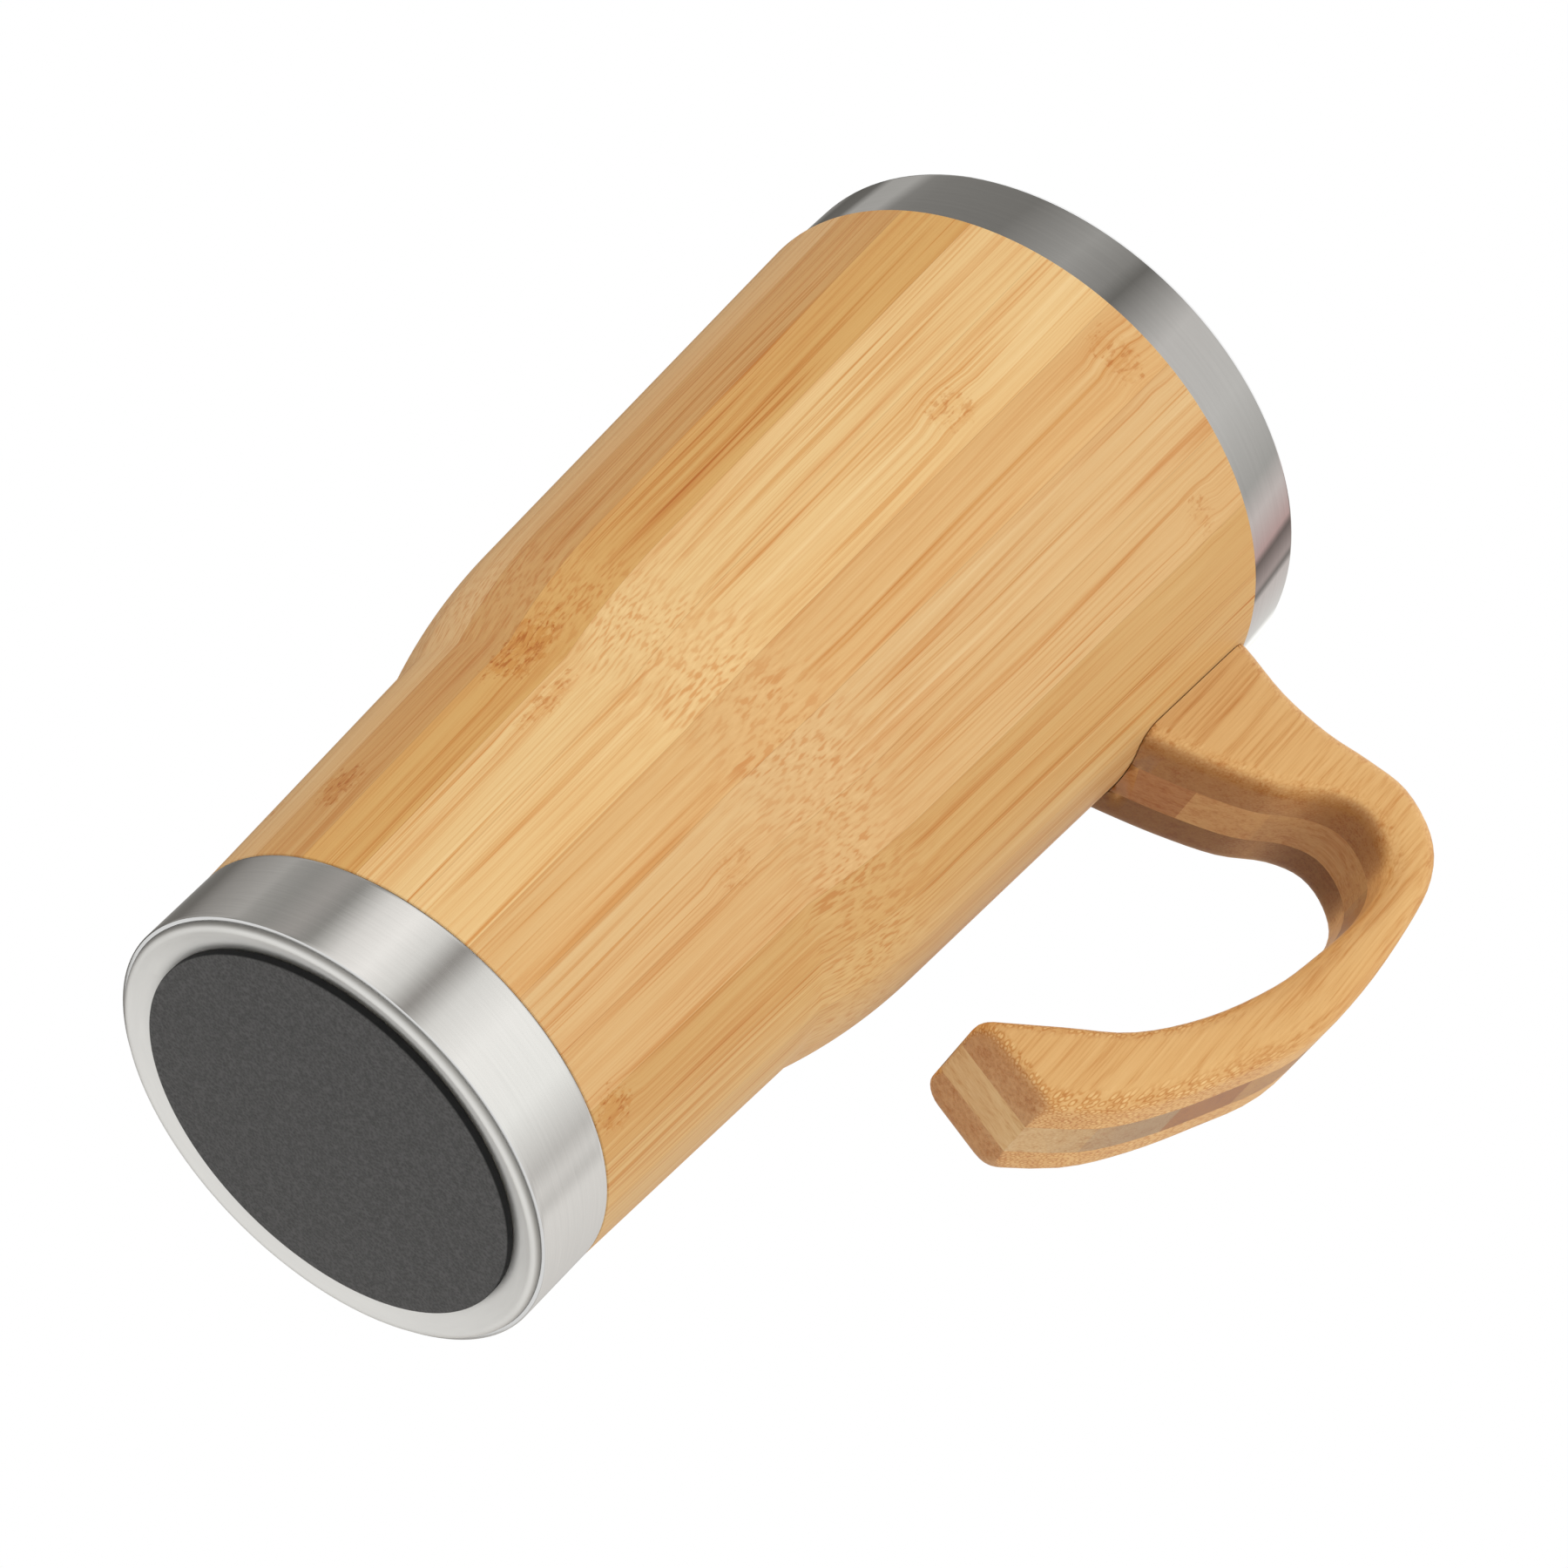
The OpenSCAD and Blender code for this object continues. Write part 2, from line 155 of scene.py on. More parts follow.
sheet = bmesh.new()
bmesh.ops.create_grid(sheet, x_segments=1, y_segments=1, size=1500 * MM)
bmesh.ops.translate(sheet, verts=sheet.verts, vec=(0, 0, -0.1 * MM))
floor_mesh = bpy.data.meshes.new("floor")
sheet.to_mesh(floor_mesh)
sheet.free()
floor_mesh.materials.append(floor_paper())
floor = bpy.data.objects.new("floor", floor_mesh)
bpy.context.scene.collection.objects.link(floor)


# ---------------------------------------------------------------------------
# Reflectors. Two open rings of white, grey and black boards round the tumbler,
# which only the polished and brushed steel can see. The rim sees the upper one.
ring_radius = 180
board_strength = 1.12


def colour(r, g, b):
    """A colour as a picture shows it, 0 to 255, in the scene's linear values."""
    values = []
    for c in (r, g, b):
        c = c / 255
        values.append(c / 12.92 if c <= 0.04045 else ((c + 0.055) / 1.055) ** 2.4)
    return (*values, 1)


def round_axis(tree, place):
    """The turn round the cup's axis in radians, from a separated place."""
    return maths(tree, "ARCTAN2", place["Y"], place["X"])


def ramp(tree, value, stops, kind="LINEAR"):
    """A colour ramp through the stops, each a position and a colour."""
    made = add(tree, "ValToRGB", {0: value})
    made.color_ramp.interpolation = kind
    elements = made.color_ramp.elements
    while len(elements) < len(stops):
        elements.new(0.5)
    for element, (position, tone) in zip(elements, stops):
        element.position = position
        element.color = tone
    return made.outputs["Color"]


def board_paper(name, boards):
    """Glowing paper in greys that run into one another; warmth takes off green and
    blue. Both ends of its ramp share one tone, so that the ring has no seam."""
    material, tree = new_material(name)
    place = add(tree, "SeparateXYZ", {0: add(tree, "TexCoord").outputs["Object"]}).outputs
    share = maths(tree, "MULTIPLY_ADD", round_axis(tree, place), 0.5 / math.pi, 0.5)
    stops = []
    for shows_at, grey, warm in boards:
        turn = 74.8 - 1.87 * shows_at  # where the steel mirrors it from, for the camera
        stops.append((((turn + 180) % 360) / 360, grey, warm))
    stops.sort()
    seam = [(first + last) / 2 for first, last in zip(stops[0][1:], stops[-1][1:])]
    stops = [(0.0, *seam), *stops, (1.0, *seam)]
    tone = ramp(tree, share, [(position, colour(grey, grey - warm, grey - warm - 4))
                              for position, grey, warm in stops])
    only_metal = add(tree, "LightPath").outputs["Is Glossy Ray"]
    glow = add(tree, "Emission", {"Color": tone, "Strength": board_strength}).outputs[0]
    clear = add(tree, "BsdfTransparent").outputs[0]
    show(tree, add(tree, "MixShader", {0: only_metal, 1: clear, 2: glow}).outputs[0])
    return material


def reflector(name, low, high, boards):
    """An open ring. Its boards are given by the degrees round the cup's near side,
    from the handle, at which each one shows, and by their grey and warmth."""
    ring = bmesh.new()
    bmesh.ops.create_cone(ring, segments=96, radius1=ring_radius * MM,
                          radius2=ring_radius * MM, depth=(high - low) * MM)
    bmesh.ops.translate(ring, verts=ring.verts, vec=(0, 0, (low + high) / 2 * MM))
    mesh = bpy.data.meshes.new(name)
    ring.to_mesh(mesh)
    ring.free()
    mesh.materials.append(board_paper(name, boards))
    made = bpy.data.objects.new(name, mesh)
    bpy.context.scene.collection.objects.link(made)


reflector("rim_boards", 200, 420, [
    (4, 255, 0), (9, 205, 2), (22, 190, 8), (24, 115, 5), (26, 160, 13), (32, 105, 10),
    (34, 178, 26), (42, 190, 9), (48, 160, 2), (64, 185, 2), (80, 185, 3), (92, 103, 2),
    (95, 130, 2), (103, 150, 2), (117, 114, 2), (141, 125, 2), (145, 160, 2), (152, 156, 2),
    (156, 100, 2), (163, 92, 2), (172, 140, 2)])
reflector("foot_boards", -80, 199, [
    (-8, 150, 2), (2, 195, 3), (33, 212, 3), (37, 190, 3), (41, 207, 3), (46, 185, 3),
    (60, 230, 1), (76, 234, 2), (86, 212, 2), (92, 136, 4), (97, 208, 2), (104, 233, 3),
    (111, 212, 3), (118, 132, 2), (123, 152, 4), (130, 137, 2), (138, 160, 3), (151, 134, 3),
    (158, 102, 3), (165, 110, 2), (172, 150, 3)])


# ---------------------------------------------------------------------------
# Shell. Twenty-four bamboo staves glued edge to edge and turned as one: a
# cone, a waist, a round shoulder and the upper cone, with a spigot at each
# end that the steel bands slide over. Satin lacquer.
stave_count = 24
stave_degrees = 360 / stave_count
first_joint = -1  # degrees from the handle
mm_per_degree = 0.68  # round the shell, at its middle size
# Radius and height, in mm, of the points where its outline changes
foot_joint, waist = (32.95, 13.5), (35.35, 56.3)
shoulder, rim_joint = (39.35, 77.5), (43.05, 149.2)
arc_centre, arc_radius = (-40.733, 81.633), 80.189
bore_floor, bore_seat = (28.85, 6.4), (39.35, 146)
shoulder_steps = 16


def cone_radius(z, low, high):
    return low[0] + (z - low[1]) * (high[0] - low[0]) / (high[1] - low[1])


def shell_radius(z):
    """The turned outside: the lower cone, the round shoulder and the upper cone."""
    if z <= waist[1]:
        return cone_radius(z, foot_joint, waist)
    if z <= shoulder[1]:
        return arc_centre[0] + math.sqrt(arc_radius ** 2 - (z - arc_centre[1]) ** 2)
    return cone_radius(z, shoulder, rim_joint)


shoulder_heights = [waist[1] + (shoulder[1] - waist[1]) * step / shoulder_steps
                    for step in range(shoulder_steps + 1)]
lower_spigot = [(cone_radius(3.45, bore_floor, bore_seat), 3.45), (32.18, 3.45), (32.25, 13.6)]
outside = [(shell_radius(z), z) for z in (
    20, 30, 40, 48, 53, 55.5, *shoulder_heights, 90, 105, 120, 135, 149.05)]
upper_spigot = [(41.8, 149.2), (41.8, 156.7), (39.35, 156.7)]
stave_outline = [*lower_spigot, (32.80, 13.6), (32.966, 13.75), *outside,
                 (42.9, 149.2), *upper_spigot, bore_seat]


def finish_piece(name, shape, material, replaced, sharp=35):
    """Smooth shading, a mesh object at the origin, hung on the root body, with the CAD node it
    replaces hidden.
    """
    bmesh.ops.remove_doubles(shape, verts=shape.verts, dist=0.001 * MM)
    bmesh.ops.recalc_face_normals(shape, faces=shape.faces)
    mesh = bpy.data.meshes.new(name)
    shape.to_mesh(mesh)
    shape.free()
    mesh.shade_smooth()
    mesh.set_sharp_from_angle(angle=math.radians(sharp))
    mesh.materials.append(material)
    piece = bpy.data.objects.new(name, mesh)
    bpy.context.scene.collection.objects.link(piece)
    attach(piece, "root")
    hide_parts(replaced)
    return piece


def spin_outline(outline, start, sweep, steps, full=False):
    """The outline, radius and height in mm, swept round the cup's axis. It is
    closed, unless it starts and ends on the axis."""
    shape = bmesh.new()
    begin = Matrix.Rotation(math.radians(start), 3, "Z")
    corners = [shape.verts.new(begin @ Vector((r * MM, 0, z * MM))) for r, z in outline]
    edges = [shape.edges.new(pair) for pair in zip(corners, corners[1:])]
    if outline[0][0] > 0:
        edges.append(shape.edges.new((corners[-1], corners[0])))
    bmesh.ops.spin(shape, geom=corners + edges, cent=(0, 0, 0), axis=(0, 0, 1),
                   angle=math.radians(sweep), steps=steps, use_merge=full)
    return shape


def mixed(tree, factor, a, b):
    return add(tree, "Mix", {"Factor": factor, "A": a, "B": b}, data_type="RGBA").outputs["Result"]


def stained(tree, wood, stain):
    return add(tree, "VectorMath", {0: wood, 1: stain}, operation="MULTIPLY").outputs[0]


def tinted(tree, wood, amount, tint):
    """The wood times as much of the tint as the amount says."""
    return stained(tree, wood, mixed(tree, amount, (1, 1, 1, 1), (*tint, 1)))


def layered(tree, *layers):
    """Noises laid over one another, each with its weight, about one half."""
    depth = 0.5
    for fibre, weight in layers:
        depth = maths(tree, "MULTIPLY_ADD", maths(tree, "SUBTRACT", fibre, 0.5), weight, depth)
    return depth


def streaked(tree, wood, depth, dark, pale):
    """The wood times a tint that follows the depth, from the dark one to the pale one."""
    return stained(tree, wood, ramp(tree, depth, [
        (0.1, (*dark, 1)), (0.5, (1, 1, 1, 1)), (0.9, (*pale, 1))]))


# Tone of each stave, from the first on; those behind are guessed. The seen ones were
# matched as lit, so they hold some painted light and shade besides the wood's tone
stave_tones = [
    (208, 164, 106), (214, 168, 108), (219, 174, 117), (226, 183, 126), (222, 178, 120),
    (230, 190, 134), (224, 180, 124), (209, 162, 104), (216, 170, 110), (226, 182, 125),
    (220, 176, 118), (232, 192, 136), (206, 163, 110), (214, 171, 116), (204, 154, 93),
    (217, 166, 96), (235, 194, 132), (235, 193, 131), (224, 177, 116), (222, 179, 122),
    (219, 175, 117), (209, 163, 101), (212, 170, 110), (208, 167, 110)]
# Places where the culm had a node, as degrees from the handle, height, half
# height and half width in mm, and strength
stave_knots = [
    (-51, 140.5, 2.6, 3.4, 0.5), (-83, 143.5, 3.0, 5.0, 0.6), (-98, 119, 4.0, 3.2, 0.6),
    (-64, 49, 3.6, 3.0, 0.5), (-131, 55.5, 6.5, 4.4, 1.0), (-117, 49, 6.5, 2.0, 0.7),
    (-145, 27, 4.5, 3.6, 0.9), (-42, 17, 3.4, 3.6, 0.9), (-165, 25, 2.4, 1.6, 0.8),
    (60, 100, 3.2, 3.4, 0.6), (110, 40, 4.0, 3.0, 0.7), (140, 120, 3.6, 3.6, 0.5),
    (25, 38, 3.0, 3.0, 0.6)]
# Dark bundles that stand out, as degrees from the handle, lowest and highest
# point, and half width in mm
stave_bundles = [
    (-31, 78, 128, 0.55), (-55, 80, 142, 0.35), (-61, 76, 108, 0.9), (-68, 82, 150, 0.3),
    (-82.5, 74, 150, 0.9), (-76, 16, 48, 0.8), (-105, 76, 148, 0.4), (-112, 84, 130, 0.5),
    (-102, 18, 50, 0.4), (-47, 18, 44, 0.5), (-86, 20, 54, 0.5), (-127, 78, 146, 0.8),
    (-141, 70, 120, 0.5), (-20, 20, 60, 0.4), (35, 80, 145, 0.6), (72, 15, 54, 0.7),
    (88, 78, 140, 0.5), (122, 76, 150, 0.8), (155, 20, 56, 0.6), (170, 80, 130, 0.5)]


def shell_bamboo():
    material, tree = new_material("shell_bamboo")

    def times(a, b):
        return maths(tree, "MULTIPLY", a, b)

    def over(a, b):
        return maths(tree, "DIVIDE", a, b)

    def less(a, b):
        return maths(tree, "SUBTRACT", a, b)

    def larger(a, b):
        return maths(tree, "MAXIMUM", a, b)

    def noise(x, y, z, detail=2.0, rough=0.5, **more):
        spot = add(tree, "CombineXYZ", {"X": x, "Y": y, "Z": z}).outputs[0]
        return add(tree, "TexNoise", {"Vector": spot, "Scale": 1.0, "Detail": detail,
                                      "Roughness": rough, **more}).outputs["Fac"]

    # Height in mm, degrees from the first joint, and from the stave's own edge
    place = add(tree, "SeparateXYZ", {0: add(tree, "TexCoord").outputs["Object"]}).outputs
    height = times(place["Z"], 1000.0)
    degrees = maths(tree, "MULTIPLY_ADD", round_axis(tree, place), 180 / math.pi, -first_joint)
    number = maths(tree, "FLOOR", over(degrees, stave_degrees))
    across_degrees = less(degrees, times(number, stave_degrees))
    number = maths(tree, "FLOORED_MODULO", number, stave_count)

    # The knots: how near each point is to one, and how strong inside its ragged outline
    ragged = noise(times(degrees, 0.6), times(height, 0.7), 4.4, 3.0, 0.7)
    ragged = maths(tree, "MULTIPLY_ADD", ragged, 4.4, -2.2)
    near, knot = 0.0, 0.0
    for turn, z, tall, wide, strength in stave_knots:
        off_side = over(less(degrees, turn - first_joint), wide / mm_per_degree)
        off_height = over(less(height, z), tall)
        off = maths(tree, "MULTIPLY_ADD", off_side, off_side, times(off_height, off_height))
        near = larger(near, between(tree, off, 0.2, 3.0, 1.0, 0.0))
        off = maths(tree, "ADD", off, ragged)
        knot = larger(knot, between(tree, off, 0.1, 1.1, strength, 0.0))

    # Place across the stave in mm; the fibres wander a little, and bend round the knots
    wander = noise(over(across_degrees, 14.0), over(height, 60.0), times(number, 3.9), 1.0)
    swerve = noise(over(degrees, 7.0), over(height, 6.0), 8.8, 1.0)
    strayed = maths(tree, "MULTIPLY_ADD", wander, 1.3, times(near, times(swerve, 0.7)))
    across = maths(tree, "MULTIPLY_ADD", across_degrees, mm_per_degree, strayed)

    def fibres(wide, long, seed, detail=2.0, rough=0.5):
        """Streaks along the stave: their width and length in mm, and a seed."""
        return noise(over(across, wide), over(height, long), times(number, seed), detail, rough)

    wood = ramp(tree, over(maths(tree, "ADD", number, 0.5), stave_count), [
        (step / stave_count, colour(*tone)) for step, tone in enumerate(stave_tones)], "CONSTANT")

    # Where the turning crosses the fibres, in a patchy band at the waist
    patchy = noise(over(across, 3.2), over(height, 9.0), times(number, 1.37))
    cross = maths(tree, "ADD", maths(tree, "MULTIPLY_ADD", patchy, 14.0, -7.0), height)
    band = times(between(tree, cross, 52.0, 60.0), between(tree, cross, 67.0, 77.0, 1.0, 0.0))
    calm = maths(tree, "MULTIPLY_ADD", band, -0.8, 1.0)

    # Soft streaks, from orange-brown to straw
    ribbon = fibres(1.1, 85.0, 11.2)
    fine = fibres(0.26, 24.0, 9.77, 3.0, 0.6)
    depth = layered(tree, (fibres(3.6, 130.0, 5.13), 0.6), (ribbon, 0.7), (fine, 0.75))
    depth = maths(tree, "MULTIPLY_ADD", less(depth, 0.5), calm, 0.5)
    wood = streaked(tree, wood, depth, (0.86, 0.64, 0.46), (1.05, 1.15, 1.28))

    # Fibre bundles on the surface: orange-brown lines, stronger in some staves and
    # in groups, and pale ribbons between them
    lively = maths(tree, "MULTIPLY_ADD", noise(times(number, 7.7), 0.0, 0.0), 3.0, -0.6)
    group = times(lively, between(tree, fibres(2.6, 70.0, 23.3), 0.42, 0.62, 0.3, 1.0))
    thick = between(tree, fibres(0.95, 62.0, 37.1, 1.0, 0.4), 0.58, 0.70)
    thin = between(tree, fibres(0.34, 46.0, 31.7, 1.0, 0.5), 0.55, 0.66)
    pale = between(tree, fibres(1.5, 80.0, 41.9, 1.0, 0.4), 0.57, 0.70)
    wood = tinted(tree, wood, times(times(pale, calm), 0.8), (1.05, 1.11, 1.20))
    for lines in (thick, thin):
        wood = tinted(tree, wood, times(times(lines, calm), group), (0.88, 0.70, 0.53))

    # The dark bundles, which fade over the 6 mm on either side of their ends
    aside = maths(tree, "MULTIPLY_ADD", wander, 4.0, -2.0)
    bundle = 0.0
    for turn, low, high, wide in stave_bundles:
        off = maths(tree, "ADD", less(degrees, turn - first_joint), aside)
        half = wide / mm_per_degree
        line = between(tree, maths(tree, "ABSOLUTE", off), half, 0.4 * half)
        length = times(between(tree, height, low - 6, low + 6),
                       between(tree, height, high + 6, high - 6))
        bundle = larger(bundle, times(line, length))
    strands = between(tree, fibres(0.30, 60.0, 13.9, 1.0, 0.4), 0.40, 0.58, 0.25, 1.0)
    wood = tinted(tree, wood, times(bundle, strands), (0.89, 0.74, 0.58))

    # Cut bundles: dashes where the turning crosses the fibres, longer on both sides,
    # with pale painted highlights beside them
    far = over(less(height, 64.5), 4.0)
    side = maths(tree, "ABSOLUTE", far)
    root = maths(tree, "SQRT", maths(tree, "MULTIPLY_ADD", side, side, 1.0))
    reach = maths(tree, "LOGARITHM", maths(tree, "ADD", side, root), math.e)
    reach = times(times(reach, maths(tree, "SIGN", far)), 2.9)
    cut = noise(over(across, 0.46), reach, times(number, 3.31), 1.0, 0.4)
    uneven = between(tree, fibres(5.0, 16.0, 6.61), 0.38, 0.62, 0.30, 0.75)
    outside = between(tree, side, 2.0, 7.0, 0.25, 0.04)
    amount = maths(tree, "MULTIPLY_ADD", band, uneven, outside)
    dashes = times(between(tree, cut, 0.49, 0.66), amount)
    # Painted highlights: pale flecks where the cut noise is low
    painted_glints = times(between(tree, cut, 0.44, 0.32), amount)
    wood = tinted(tree, wood, band, (1.02, 1.03, 1.06))
    wood = tinted(tree, wood, painted_glints, (1.05, 1.09, 1.14))
    wood = tinted(tree, wood, dashes, (0.88, 0.69, 0.55))

    # Knots: brown flecks and curls on a ground a little darker
    curls = noise(over(across, 0.55), over(height, 1.9), 2.2, 1.0, 0.4, Distortion=0.6)
    flecks = times(between(tree, curls, 0.50, 0.66), knot)
    wood = tinted(tree, wood, times(knot, knot), (0.92, 0.78, 0.60))
    wood = tinted(tree, wood, flecks, (0.78, 0.54, 0.36))

    # Glue line between two staves
    half_stave = stave_degrees / 2
    from_middle = maths(tree, "ABSOLUTE", less(across_degrees, half_stave))
    glue = between(tree, from_middle, half_stave - 0.14, half_stave - 0.02)
    wood = tinted(tree, wood, times(glue, 0.35), (0.60, 0.46, 0.32))

    # Satin lacquer, which follows the fibres and sinks into the cuts and flecks
    dents = less(times(fine, 0.5), maths(tree, "ADD", dashes, flecks))
    bump = add(tree, "Bump", {"Height": dents, "Strength": 0.08, "Distance": 0.2 * MM})
    rough = maths(tree, "MULTIPLY_ADD", ribbon, 0.18, 0.38)
    show(tree, add(tree, "BsdfPrincipled", {
        "Base Color": wood, "Roughness": rough, "Specular IOR Level": 0.25,
        "Normal": bump.outputs[0]}).outputs[0])
    return material


shell_wood = shell_bamboo()
# The palest and the darkest staves; the slot name worked out from these for each stave is not used
light_staves = (4, 6, 10, 12, 17, 18)
dark_staves = (1, 8, 13, 15, 16)
for number in range(1, stave_count + 1):
    slot = ("bamboo_light" if number in light_staves else
            "bamboo_dark" if number in dark_staves else "bamboo_mid")
    start = first_joint + (number - 1) * stave_degrees
    stave = spin_outline(stave_outline, start, stave_degrees, 12)
    bmesh.ops.holes_fill(stave, edges=[e for e in stave.edges if e.is_boundary], sides=0)
    finish_piece(f"turned_stave_{number:02d}", stave, shell_wood, f"stave_{number:02d}")


# ---------------------------------------------------------------------------
# Rim band. A thin polished steel collar over the staves' upper spigot, with
# its top edge rolled inwards to meet the liner's lip.
def turned_piece(name, outline, rounds, material, replaced, steps=144):
    """A full spin of the outline; rounds lists corners as radius, height, offset, segments."""
    shape = spin_outline(outline, 0, 360, steps, full=True)
    bmesh.ops.remove_doubles(shape, verts=shape.verts, dist=0.001 * MM)
    near = 0.02 * MM
    for r, z, offset, segments in rounds:
        rings = [e for e in shape.edges if all(
            abs(v.co.xy.length - r * MM) < near and abs(v.co.z - z * MM) < near
            for v in e.verts)]
        bmesh.ops.bevel(shape, geom=rings, offset=offset * MM, offset_type="OFFSET",
                        affect="EDGES", segments=segments, profile=0.5, material=-1)
    return finish_piece(name, shape, material, replaced)


def steel(name, tone, rough, spread, lines, strength, ends=1.0):
    """Stainless steel with polishing or brushing lines that run round the cup. Faces that
    look up or down are painted lighter or darker by the share given, for what they mirror."""
    material, tree = new_material(name)
    source = add(tree, "TexCoord").outputs
    place = add(tree, "SeparateXYZ", {0: source["Object"]}).outputs
    turn = round_axis(tree, place)
    flat = add(tree, "CombineXYZ", {"X": place["X"], "Y": place["Y"]}).outputs[0]
    radius = add(tree, "VectorMath", {0: flat}, operation="LENGTH").outputs["Value"]

    def brushing(scale, detail):
        spot = add(tree, "CombineXYZ", {
            "X": maths(tree, "MULTIPLY", turn, 2.2), "Y": maths(tree, "MULTIPLY", radius, scale),
            "Z": maths(tree, "MULTIPLY", place["Z"], scale)}).outputs[0]
        return add(tree, "TexNoise", {"Vector": spot, "Scale": 1.0, "Detail": detail,
                                      "Roughness": 0.7}).outputs["Fac"]

    coarse = brushing(lines, 3.0)
    fine = brushing(lines * 4, 1.0)
    cloud = add(tree, "TexNoise", {
        "Vector": source["Object"], "Scale": 90.0, "Detail": 3.0}).outputs["Fac"]
    cloudy = maths(tree, "MULTIPLY_ADD", cloud, spread * 0.6, rough)
    shine = maths(tree, "MULTIPLY_ADD", coarse, spread, cloudy)
    upright = add(tree, "SeparateXYZ", {0: source["Normal"]}).outputs["Z"]
    # Painted light: faces looking up or down are scaled by ends, then by the brushing
    brushing_and_painted_light = between(tree, maths(tree, "ABSOLUTE", upright), 0.3, 0.9, 1.0, ends, "LINEAR")
    brushing_and_painted_light = maths(tree, "MULTIPLY", maths(tree, "MULTIPLY_ADD", coarse, 0.16, 0.92), brushing_and_painted_light)
    metal = add(tree, "VectorMath", {0: colour(*tone)[:3], "Scale": brushing_and_painted_light},
                operation="SCALE").outputs[0]
    bump = add(tree, "Bump", {"Height": maths(tree, "ADD", coarse, fine),
                              "Strength": strength, "Distance": 0.01 * MM})
    show(tree, add(tree, "BsdfPrincipled", {
        "Base Color": metal, "Metallic": 1.0, "Roughness": shine,
        "Normal": bump.outputs[0]}).outputs[0])
    return material


polished_steel = steel("polished_steel", (240, 240, 240),
                       rough=0.0, spread=0.02, lines=1500.0, strength=0.03)
turned_piece(
    "rolled_rim_band",
    [(41.9, 149.4), (42.05, 149.22), (42.48, 149.22), (42.6, 149.34), (42.6, 160),
     (40.55, 160), (40.55, 159.3), (41.9, 159.3)],
    [(42.6, 160, 0.9, 6), (41.9, 159.3, 0.2, 3)],
    polished_steel, "rim_band")


# ---------------------------------------------------------------------------
# Liner. Drawn from one steel sheet: floor, round corner, tapered wall, the
# straight mouth and the lip that rolls out to the rim band. Satin inside.
satin_steel = steel("satin_steel", (234, 233, 231),
                    rough=0.40, spread=0.14, lines=500.0, strength=0.2)
turned_piece(
    "drawn_liner",
    [(0, 5.9), (28.464, 5.9), (39.0, 146), (39.0, 159.5), (40.55, 159.5), (40.55, 160),
     (38.5, 160), (38.5, 146), (28.0, 6.4), (0, 6.4)],
    [(28.464, 5.9, 5.1, 8), (28.0, 6.4, 4.64, 8), (38.5, 160, 0.9, 5), (39.0, 159.5, 0.4, 3)],
    satin_steel, "liner")


# ---------------------------------------------------------------------------
# Foot band. A thin steel ring, brushed round the cup, slid over the staves'
# lower spigot and glued, with both edges just broken. The two points near its
# edges keep the shading of its wall straight.
# Its end faces are painted darker, 0.72 of the tone, for what they would mirror
brushed_steel = steel("brushed_steel", (242, 242, 241),
                      rough=0.05, spread=0.08, lines=2400.0, strength=0.6, ends=0.72)
turned_piece(
    "brushed_foot_band",
    [(32.256, 0.95), (32.856, 0.95), (32.86, 1.5), (32.946, 13), foot_joint, (32.35, 13.5)],
    [(32.856, 0.95, 0.2, 3), (*foot_joint, 0.15, 2)],
    brushed_steel, "foot_band")


# ---------------------------------------------------------------------------
# Foot plate. Pressed steel: the flat disc for the pad, the slope down to the
# rounded standing edge, and the flange that is spot-welded inside the band.
# Painted light and shade: faces looking down are 1.66 times as light as the outward rounding
plate_steel = steel("plate_steel", (180, 179, 176),
                    rough=0.46, spread=0.10, lines=500.0, strength=0.2, ends=1.66)
turned_piece(
    "pressed_foot_plate",
    [(0, 1.4), (28.05, 1.4), (32.23, -0.297), (32.24, 3.15), (31.572, 3.15),
     (31.55, 0.601), (28.169, 2.0), (0, 2.0)],
    [(32.23, -0.297, 1.347, 8), (31.55, 0.601, 0.449, 4)],
    plate_steel, "foot_plate")


# ---------------------------------------------------------------------------
# Foot pad. A dark grey foam disc, die-cut and stuck in the plate so that it
# stands a hair proud and keeps the cup from sliding.
def foam(name, tone, wall_tone):
    """Fine closed cells, darker and lighter than the tone, on the flat faces, and a
    plain tone on the cut wall, which on the pad is painted shade."""
    material, tree = new_material(name)
    source = add(tree, "TexCoord").outputs
    place = source["Object"]
    cells = add(tree, "TexVoronoi", {"Vector": place, "Scale": 2600.0}).outputs["Distance"]
    cloud = add(tree, "TexNoise", {"Vector": place, "Scale": 700.0, "Detail": 4.0,
                                   "Roughness": 0.7}).outputs["Fac"]
    texture = maths(tree, "MULTIPLY_ADD", cells, 0.5, maths(tree, "MULTIPLY", cloud, 0.6))
    face = mixed(tree, between(tree, texture, 0.35, 0.75, kind="LINEAR"),
                 colour(*[c * 0.88 for c in tone]), colour(*[c * 1.12 for c in tone]))
    upright = add(tree, "SeparateXYZ", {0: source["Normal"]}).outputs["Z"]
    facing = between(tree, maths(tree, "ABSOLUTE", upright), 0.3, 0.9, kind="LINEAR")
    bump = add(tree, "Bump", {"Height": texture, "Strength": 0.35, "Distance": 0.15 * MM})
    show(tree, add(tree, "BsdfPrincipled", {
        "Base Color": mixed(tree, facing, colour(*wall_tone), face), "Roughness": 0.85,
        "Specular IOR Level": 0.2, "Normal": bump.outputs[0]}).outputs[0])
    return material


# The pad's near-black wall tone is painted shade, for the shadowed gap round it
pad = turned_piece(
    "die_cut_pad", [(0, 0), (27.85, 0), (27.85, 1.2), (0, 1.2)], [(27.85, 0, 0.25, 3)],
    foam("pad_foam", (80, 79, 78), (30, 30, 30)), "foot_pad")


